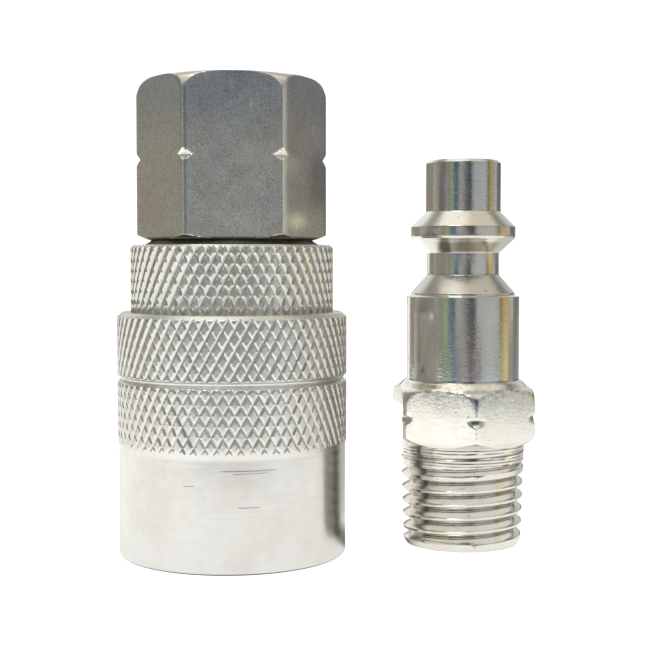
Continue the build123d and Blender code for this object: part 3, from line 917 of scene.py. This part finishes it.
def hex_flat_marks_and_painted_light(coords, z, tint, rough, height):
    """Painted dark reflections at the corners, a painted highlight down the right corner, nicks,
    and painted shade and glints on the front of the hexagon.
    """
    x, y, _ = split(coords)
    front = y < 0.0

    def blot(at_x, at_z, half_width, half_height, core=0.55):
        """Soft ellipse on the front, full strength inside its core."""
        reach = length((x - at_x) / half_width, (z - at_z) / half_height)
        return reach.ramp(zero=1.0, one=core) * front

    # position along the front flat, and distance out in its direction
    turn = math.radians(ADAPTER_TURN)
    along = x * math.cos(turn) + y * math.sin(turn)
    out = x * math.sin(turn) + y * -math.cos(turn)

    # painted dark bluish reflections where the front flat meets its corners
    flat = out.ramp(zero=0.00830, one=0.00840) * z.ramp(zero=0.0474, one=0.0466)
    left_corner_reflection = along.band(rise=(-0.00482, -0.00472), fall=(-0.00458, -0.00440))
    right_corner_reflection = along.band(rise=(0.00458, 0.00466), fall=(0.00474, 0.00480))
    seam = maximum(left_corner_reflection, right_corner_reflection * 0.7) * flat
    tint = toned(tint, seam * 0.75, (0.46, 0.50, 0.62))

    # painted highlight down the right corner
    right_corner_highlight = (along.band(rise=(0.00480, 0.00488), fall=(0.00515, 0.00530)) * front
            * z.ramp(zero=0.0474, one=0.0466) * z.ramp(zero=0.03270, one=0.03300))
    tint = mix(right_corner_highlight * 0.85, tint, (0.98, 0.98, 0.98))

    # two nicks and scattered small ones
    nick = maximum(blot(at_x=0.0083, at_z=0.0434, half_width=0.00026, half_height=0.00058),
                   blot(at_x=0.0021, at_z=0.0452, half_width=0.00014, half_height=0.0007))
    small = stretched_noise(coords, (2600, 2600, 1100), detail=1, rough=0.3)
    nick = maximum(nick, small.ramp(zero=0.77, one=0.81) * 0.6)
    tint = mix(nick * 0.6, tint, (0.95, 0.95, 0.93))

    # painted shade: right flat a little darker
    tint = toned(tint, along.ramp(zero=0.0050, one=0.0056) * front, (0.82, 0.80, 0.80))

    # painted warm glint low on the right flat, and a fainter one above it, on a rougher, bumpier
    # patch
    warm_glint = maximum(
        blot(at_x=0.0066, at_z=0.0341, half_width=0.0017, half_height=0.0014, core=0.0),
        blot(at_x=0.0060, at_z=0.0396, half_width=0.0013, half_height=0.0015, core=0.0) * 0.35)
    tint = mix(warm_glint, tint, (1.0, 0.97, 0.78))
    rough = rough + warm_glint * 0.16
    height = height + noise(coords, scale=2600, detail=2) * warm_glint * 0.20

    # painted shade: dark area at mid height near the right edge
    right_edge_shade = (x.ramp(zero=0.0073, one=0.0086)
             * z.ramp(zero=0.0345, one=0.0372) * z.ramp(zero=0.0425, one=0.0395) * front)
    tint = toned(tint, right_edge_shade * 0.75, (0.62, 0.60, 0.66))
    return tint, rough, height, nick


def streak(coords, x0, x1, z0, slope, width):
    """Soft mask of one fine scratch on the front, from x0 to x1 at height z0."""
    x, y, z = split(coords)
    wobble = (noise(coords, scale=500, detail=2) - 0.5) * (width * 2.2)
    line = abs(z - ((x - x0) * slope + z0) + wobble)
    return (line.ramp(zero=width, one=width * 0.25) * x.ramp(zero=x0, one=x0 + 0.0006)
            * x.ramp(zero=x1, one=x1 - 0.0006) * (y < 0.0))


def paint_side_shade(coords, rad, tint, z=None):
    """Painted shade: darken both sides and the right again; with z, only above the sleeve's skirt.
    """
    sides = abs(split(coords)[0] / rad).ramp(zero=0.40, one=0.95)
    right = (split(coords)[0] / rad).ramp(zero=0.30, one=0.80)
    for mask, tone in ((sides, (0.86, 0.855, 0.84)), (right, (0.88, 0.875, 0.87))):
        if z is not None:
            mask = mask * z.ramp(zero=0.0106, one=0.0118)
        tint = toned(tint, mask, tone)
    return tint


# Scratches on the sleeve's skirt: (x0, x1, z0, slope, width)
SCRATCHES = [(-0.0010, 0.0047, 0.01015, 0.004, 0.00009), (0.0001, 0.0039, 0.00985, 0.02, 0.00006),
             (0.0006, 0.0031, 0.00665, -0.03, 0.00007), (-0.0046, -0.0031, 0.00860, 0.05, 0.00005)]


def sleeve_extra(coords, tint, rough, height):
    # scratches and pits
    marks = streak(coords, *SCRATCHES[0])
    for scratch in SCRATCHES[1:]:
        marks = maximum(marks, streak(coords, *scratch))
    pits = noise(coords, scale=1900, detail=1, rough=0.4).ramp(zero=0.79, one=0.84)
    marks = maximum(marks, pits * 0.6)
    tint = mix(marks * 0.30, tint, (0.25, 0.23, 0.20))
    rough = rough + marks * 0.20
    height = height - marks * 0.008
    # painted contact shadow: dark line at the foot
    rad, z = around(coords)
    foot = z.ramp(zero=0.00023, one=0.00013) * rad.ramp(zero=0.0108, one=0.0110)
    tint = mix(foot * 0.92, tint, (0.11, 0.105, 0.115))
    # skirt: clouds, painted shade at the left and right limits, and painted shade making it less
    # bright as a whole
    skirt = z.ramp(zero=0.0118, one=0.0110)
    cloud = noise(coords, scale=170, detail=3, rough=0.55).ramp(zero=0.42, one=0.72)
    tint = toned(tint, cloud * skirt, (0.93, 0.93, 0.935))
    skirt_edge_shade = abs(split(coords)[0] / rad).ramp(zero=0.930, one=0.992)
    skirt_edge_shade = skirt_edge_shade * (skirt * rad.ramp(zero=0.0108, one=0.0110))
    tint = toned(tint, skirt_edge_shade, (0.78, 0.79, 0.83))
    rough = rough + z.ramp(zero=0.0110, one=0.0122, to=(0.03, 0.13))
    tint = toned(tint, z.ramp(zero=0.0118, one=0.0106), (0.90, 0.90, 0.91))
    # knurled part: painted shade on the sides, and a coarser cut
    tint = paint_side_shade(coords, rad, tint, z)
    coarse = noise(coords, scale=3600, detail=2, rough=0.6) * z.ramp(zero=0.0110, one=0.0122)
    return tint, rough, height + coarse * 0.014


def collar_extra(coords, tint, rough, height):
    # painted shade on both sides, and in the slot below the hexagon
    tint = paint_side_shade(coords, around(coords)[0], tint)
    height = height + noise(coords, scale=3400, detail=2, rough=0.6) * 0.020
    return paint_gap_shade(coords, tint, rough, height)


def plug_extra(coords, tint, rough, height):
    x, y, z = split(coords)
    hexagon = z.band(rise=(0.0108, 0.0116), fall=(0.0172, 0.0178))
    tip = z.band(rise=(0.0354, 0.0360), fall=(0.0402, 0.0406))
    # chatter marks that break up the reflections: weak on the hexagon, strong on the tip
    chatter = stretched_noise(coords, (2600, 2600, 4200), detail=2.0, rough=0.6)
    patches = noise(coords, scale=420, detail=2).ramp(zero=0.26, one=0.48)
    amount = 1.0 - hexagon * 0.65 + tip * 0.8
    height = height + chatter * patches * 0.013 * amount
    # grey scale on the hexagon's upper part, except at its left corner, which is duller
    scale = noise(coords, scale=1500, detail=4, rough=0.7).ramp(zero=0.46, one=0.62)
    scale = z.ramp(zero=0.0146, one=0.0166) * hexagon * scale
    off_x = x - PLUG_X * MM
    off_y = y - PLUG_Y * MM
    corner = off_x.ramp(zero=-0.00674, one=-0.00684) * hexagon
    scale = scale * (1.0 - corner)
    rough = rough + corner * z.ramp(zero=0.0146, one=0.0154) * 0.26
    # painted light: the whole hexagon a little brighter than the rest of the plug
    tint = toned(tint, hexagon, (1.17, 1.17, 1.19))
    # fine wavy rings at the upper end of the thread, 0.33 mm apart
    runout = z.band(rise=(0.0086, 0.0093), fall=(0.01084, 0.01088))
    turn = z * (TAU / 0.00033) + noise(coords, scale=260, detail=1, rough=0.5) * 2.4
    rings = runout * math_node("SINE", turn)
    height = height + rings * 0.010
    tint = mix(rings.ramp(zero=0.55, one=0.95) * 0.40, tint, (0.42, 0.40, 0.36))
    tint = mix(scale * 0.52, tint, (0.50, 0.50, 0.50))
    # painted shade: brownish band on the upper slope of the waist, facing the front and fading
    # towards left and right
    slope = z.band(rise=(0.03104, 0.03120), fall=(0.03190, 0.03225))
    sideways = abs(off_x / length(off_x, off_y))
    slope = slope * sideways.ramp(zero=0.78, one=0.55)
    tint = toned(tint, slope * 0.85, (0.50, 0.46, 0.38))
    # lower slope of the waist: painted shade, a little darker, and a rougher finish
    cone = z.band(rise=(0.02672, 0.02690), fall=(0.02860, 0.02900))
    tint = toned(tint, cone, (0.83, 0.83, 0.82))
    rough = rough + cone * 0.08
    pits = noise(coords, scale=2400, detail=1, rough=0.4).ramp(zero=0.74, one=0.80)
    tint = mix(pits * 0.5, tint, (0.20, 0.18, 0.15))
    height = height - pits * 0.015
    # its lower part looks dimmer when mirrored from afar, as in the socket
    path = add_node(coords.tree, "LightPath")
    mirrored = (Value(path.outputs["Is Glossy Ray"])
                * Value(path.outputs["Ray Length"]).ramp(zero=0.0055, one=0.0075)
                * z.ramp(zero=0.0185, one=0.0165))
    return toned(tint, mirrored, (0.50, 0.48, 0.46)), rough, height


sleeve_mat = metal("bright_nickel_plate", (0.85, 0.845, 0.83), rough=0.18, turned=0.9, grain=0.6,
                   mottle=0.04, dirt=0.22, warm=(1.0, 0.992, 0.97), extra=sleeve_extra)
collar_mat = metal("collar_nickel_plate", (0.84, 0.835, 0.815), rough=0.30, turned=0.5,
                   grain=0.9, mottle=0.06, wear=0.6, dirt=0.30, warm=(1.0, 0.985, 0.94),
                   extra=collar_extra)
hex_mat = metal("satin_nickel_plate", (0.955, 0.955, 0.915), rough=0.36, turned=0.2, grain=2.6,
                mottle=0.16, wear=1.0, dirt=0.15, extra=hex_extra)
plug_mat = metal("turned_nickel_plate", (0.80, 0.79, 0.765), rough=0.135, turned=0.8, grain=1.5,
                 mottle=0.07, dirt=0.18, extra=plug_extra)
spring_mat = metal("spring_wire", (0.52, 0.52, 0.53), rough=0.30, turned=0.0, grain=1.0,
                   mottle=0.1)
washer_mat = metal("stamped_steel", (0.60, 0.60, 0.59), rough=0.34, turned=0.2, grain=1.5,
                   mottle=0.15)
ball_mat = metal("bearing_steel", (0.82, 0.82, 0.83), rough=0.08, turned=0.0, grain=0.25,
                 mottle=0.02, wear=0.0)
brass_mat = metal("turned_brass", (0.80, 0.60, 0.27), rough=0.24, turned=1.0, grain=0.8,
                  mottle=0.1, warm=(1.0, 0.93, 0.80))
rubber_mat = rubber("nitrile_rubber")


# ---------------------------------------------------------------------------
# pieces
# ---------------------------------------------------------------------------
def dress(obj, mat):
    obj.data.materials.clear()
    obj.data.materials.append(mat)


def place(obj, mat, body, piece):
    dress(obj, mat)
    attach(obj, body)
    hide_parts(piece)


def place_spring(name, piece, mean_radius, wire_radius, active):
    """Spring in the box of its CAD piece."""
    lo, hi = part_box(piece)
    coil = build_spring(name, mean_radius, wire_radius, lo.z / MM, hi.z / MM, active)
    place(coil, spring_mat, "barrel_body", piece)
    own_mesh(coil)


place(build_sleeve(), sleeve_mat, "sleeve_body", "sleeve")
place(build_barrel(), collar_mat, "barrel_body", "barrel")
place(build_adapter(), hex_mat, "barrel_body", "hex_adapter")
place(build_plug(), plug_mat, "plug_body", "plug")
place_spring("sleeve_coil_spring", "sleeve_spring", mean_radius=9.40, wire_radius=0.45,
             active=3.2)
place_spring("valve_coil_spring", "valve_spring", mean_radius=3.00, wire_radius=0.35,
             active=4.2)

# CAD pieces that keep their shape and only get a material
CAD_FINISHES = [
    (spring_mat, ["front_snap_ring"]),
    (washer_mat, ["front_stop_washer", "sleeve_thrust_washer"]),
    (rubber_mat, ["nose_packing", "poppet_o_ring", "adapter_o_ring"]),
    (brass_mat, ["packing_washer", "valve_seat_ring", "valve_poppet", "valve_guide"]),
    (ball_mat, ["lock_ball_%d" % (k + 1) for k in range(BALL_COUNT)])]
for mat, pieces in CAD_FINISHES:
    for piece in pieces:
        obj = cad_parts[piece]
        dress(obj, mat)
        for polygon in obj.data.polygons:
            polygon.use_smooth = True
        obj.data.set_sharp_from_angle(angle=math.radians(35))


# ---------------------------------------------------------------------------
# stage: pale floor and a reflector card
# ---------------------------------------------------------------------------
def floor_material():
    """Glowing pale floor.  Reflections see it darker between and behind the
    pieces, and brighter far behind the socket."""
    mat, tree = new_material("pale_floor")
    x, y, _ = split(source(tree, "NewGeometry", "Position"))
    # distance from the foot of the socket and of the plug: (x, y, foot radius)
    feet = [(0.0, 0.0, 0.0117), (PLUG_X * MM, PLUG_Y * MM, 0.0065)]
    near = [length(x - foot_x, y - foot_y) - radius for foot_x, foot_y, radius in feet]
    apart = near[0] + near[1] - 0.0065
    gloom = (apart.ramp(zero=0.0, one=0.012, to=(0.92, 0.0))
             * y.ramp(zero=-0.0006, one=0.0034))
    rear = x.ramp(zero=0.012, one=0.030) * y.ramp(zero=0.004, one=0.022)
    shade = (1.0 - gloom) * (1.0 - rear * 0.50)
    seen = source(tree, "LightPath", "Is Camera Ray")
    shade = maximum(shade, seen)
    lift = (y.ramp(zero=0.045, one=0.085)
            * x.band(rise=(-0.034, -0.020), fall=(0.018, 0.030)))
    shade = shade + lift * 0.45 * (1.0 - seen)
    diffuse = add_node(tree, "BsdfDiffuse", {
        "Color": mix(shade, (0.35, 0.35, 0.34), (0.80, 0.80, 0.79))})
    # the glow falls off towards +X and is stronger as the camera sees it
    glow = add_node(tree, "Emission", {"Color": (1.0, 1.0, 0.99),
                                       "Strength": shade * (0.60 + x * -0.9 + seen * 0.60)})
    add_output(tree, add_node(tree, "AddShader", {0: Value(diffuse.outputs[0]),
                                                  1: Value(glow.outputs[0])}))
    return mat


def build_floor(x0=-0.145, x1=0.155, y0=-0.108, y1=0.150, z=-0.00002, cells=24):
    mesh = bpy.data.meshes.new("floor")
    bm = bmesh.new()
    rows = [[bm.verts.new((x0 + (x1 - x0) * i / cells, y0 + (y1 - y0) * j / cells, z))
             for i in range(cells + 1)] for j in range(cells + 1)]
    for near, far in zip(rows, rows[1:]):
        for i in range(cells):
            bm.faces.new((near[i], near[i + 1], far[i + 1], far[i]))
    bm.to_mesh(mesh)
    bm.free()
    floor = link_object("floor", mesh)
    dress(floor, floor_material())


def build_card(x0=-0.078, x1=-0.020, y=0.149, top=0.034):
    """Narrow upright card behind, seen only in the reflections."""
    mesh = bpy.data.meshes.new("reflector_card")
    mesh.from_pydata([(x0, y, 0.0), (x1, y, 0.0), (x1, y, top), (x0, y, top)],
                     [], [(0, 1, 2, 3)])
    card = link_object("reflector_card", mesh)
    card.visible_camera = False
    mat, tree = new_material("card_white")
    add_output(tree, add_node(tree, "Emission", {"Color": (1.0, 1.0, 0.98),
                                                 "Strength": 1.05}))
    dress(card, mat)


build_floor()
build_card()

# ---------------------------------------------------------------------------
# world: surroundings seen in the reflections
# ---------------------------------------------------------------------------
# Colours round the horizon: (azimuth in degrees from -Y towards +X, colour).
# The room is what lies above the horizon, the table what lies below it.
ROOM = [
    (-180, (0.42, 0.40, 0.36)), (-172, (0.24, 0.23, 0.20)), (-139, (0.27, 0.25, 0.205)),
    (-116, (0.27, 0.245, 0.19)), (-96, (0.15, 0.14, 0.12)), (-83, (0.14, 0.135, 0.13)),
    (-76, (0.42, 0.42, 0.40)), (-66, (0.42, 0.42, 0.39)), (-59, (0.28, 0.27, 0.25)),
    (-50, (0.25, 0.24, 0.17)), (-42, (0.33, 0.46, 0.20)), (-38, (0.16, 0.22, 0.19)),
    (-31, (0.09, 0.13, 0.19)), (-25, (0.11, 0.14, 0.19)), (-21, (0.38, 0.36, 0.32)),
    (-13, (0.38, 0.36, 0.33)), (-6, (0.25, 0.245, 0.24)), (3, (0.12, 0.13, 0.135)),
    (12, (0.065, 0.08, 0.09)), (17, (0.08, 0.10, 0.11)), (22, (0.42, 0.42, 0.41)),
    (62, (0.43, 0.445, 0.45)), (69, (0.36, 0.375, 0.41)), (73, (0.18, 0.155, 0.11)),
    (79, (0.21, 0.165, 0.10)), (83, (0.50, 0.36, 0.11)), (91, (0.42, 0.33, 0.15)),
    (100, (0.38, 0.375, 0.34)), (112, (0.50, 0.47, 0.44)), (120, (0.15, 0.14, 0.14)),
    (149, (0.15, 0.14, 0.14)), (166, (0.92, 0.92, 0.92))]
TABLE = [
    (-180, (0.92, 0.92, 0.92)), (-166, (0.40, 0.395, 0.385)), (-150, (0.29, 0.285, 0.275)),
    (-132, (0.24, 0.235, 0.22)), (-116, (0.19, 0.175, 0.145)), (-100, (0.13, 0.118, 0.10)),
    (-74, (0.165, 0.155, 0.145)), (-56, (0.20, 0.205, 0.205)),
    (-41, (0.165, 0.20, 0.20)), (-35, (0.26, 0.34, 0.33)), (-28, (0.15, 0.20, 0.28)),
    (-21, (0.13, 0.165, 0.24)), (-14, (0.16, 0.19, 0.27)), (-8, (0.25, 0.27, 0.275)),
    (-4, (0.31, 0.32, 0.31)), (2, (0.21, 0.22, 0.24)), (8, (0.13, 0.13, 0.16)),
    (14, (0.23, 0.19, 0.205)), (21, (0.24, 0.215, 0.24)), (27, (0.12, 0.14, 0.19)),
    (32, (0.30, 0.33, 0.38)), (44, (0.36, 0.405, 0.425)), (60, (0.32, 0.37, 0.385)),
    (76, (0.33, 0.35, 0.34)), (82, (0.44, 0.39, 0.20)), (93, (0.62, 0.55, 0.31)),
    (100, (0.27, 0.25, 0.19)), (112, (0.26, 0.26, 0.245)), (124, (0.17, 0.175, 0.185)),
    (142, (0.24, 0.25, 0.26)), (160, (0.34, 0.35, 0.36)), (171, (0.88, 0.88, 0.88))]


def build_world():
    world = bpy.data.worlds.new("studio")
    scene.world = world
    world.use_nodes = True
    tree = world.node_tree
    tree.nodes.clear()
    x, y, z = split(source(tree, "TexCoord", "Generated"))
    turn = math_node("ARCTAN2", x, y * -1.0) / TAU + 0.5
    room, table = (colour_ramp(turn, [((azimuth + 180) / 360, color)
                                      for azimuth, color in stops]) for stops in (ROOM, TABLE))
    elevation = math_node("ARCSINE", z) * (180 / math.pi)
    band = mix(elevation.ramp(zero=-0.9, one=-0.2), table, room)
    # warmer and brighter low down, cooler and dimmer higher up
    band = multiply(band, mix(elevation.ramp(zero=1.0, one=9.0),
                              (1.22, 1.20, 1.15), (0.84, 0.90, 0.98)))
    # pale backing behind the pieces, grey to the right and a little to the left
    behind = y.ramp(zero=0.35, one=0.75) * elevation.ramp(zero=6.0, one=14.0)
    backing = mix(x.ramp(zero=0.05, one=0.45), (0.98, 0.98, 0.94), (0.62, 0.61, 0.58))
    backing = mix(x.ramp(zero=-0.30, one=-0.65), backing, (0.84, 0.84, 0.81))
    band = mix(behind, band, backing)
    # ceiling, darker to the rear, with a bright spot overhead
    ceiling = mix(y.ramp(zero=0.20, one=0.44), (0.73, 0.695, 0.595), (0.38, 0.36, 0.28))
    toward_spot = x * -0.20 + y * 0.03 + z * 0.979
    ceiling = mix(toward_spot.ramp(zero=0.905, one=0.988), ceiling, (1.10, 1.07, 0.97))
    surroundings = mix(elevation.ramp(zero=30.0, one=56.0), band, ceiling)
    # the camera itself sees plain white
    seen = source(tree, "LightPath", "Is Camera Ray")
    background = add_node(tree, "Background", {
        "Color": mix(seen, surroundings, (1.2, 1.2, 1.2)), "Strength": 1.0})
    add_output(tree, background, kind="OutputWorld")


build_world()

scene.view_settings.view_transform = "Standard"
scene.view_settings.look = "None"
scene.view_settings.exposure = 0.0
scene.view_settings.gamma = 1.0


# ---------------------------------------------------------------------------
# light and camera
# ---------------------------------------------------------------------------
def aim(obj, location, direction):
    obj.location = location
    obj.rotation_mode = "QUATERNION"
    obj.rotation_quaternion = Vector(direction).to_track_quat("-Z", "Y")


lamp = bpy.data.lights.new("overhead_softbox", "AREA")
lamp.shape = "RECTANGLE"
lamp.size, lamp.size_y = 0.20, 0.20
lamp.energy = 0.26
aim(link_object("overhead_softbox", lamp), location=(-0.12, -0.23, 0.44),
    direction=(0.132, 0.23, -0.42))

camera = bpy.data.cameras.new("camera")
camera.sensor_width = 36.0
camera.lens = 72.98584615
camera.clip_start, camera.clip_end = 0.005, 10
# radians: yaw from +Y towards +X, and tilt below the horizon
yaw, tilt = 0.038455, 0.048627
camera_obj = link_object("camera", camera)
aim(camera_obj, location=(0.0043354, -0.1365381, 0.0301568),
    direction=(math.sin(yaw) * math.cos(tilt), math.cos(yaw) * math.cos(tilt),
               -math.sin(tilt)))
scene.camera = camera_obj
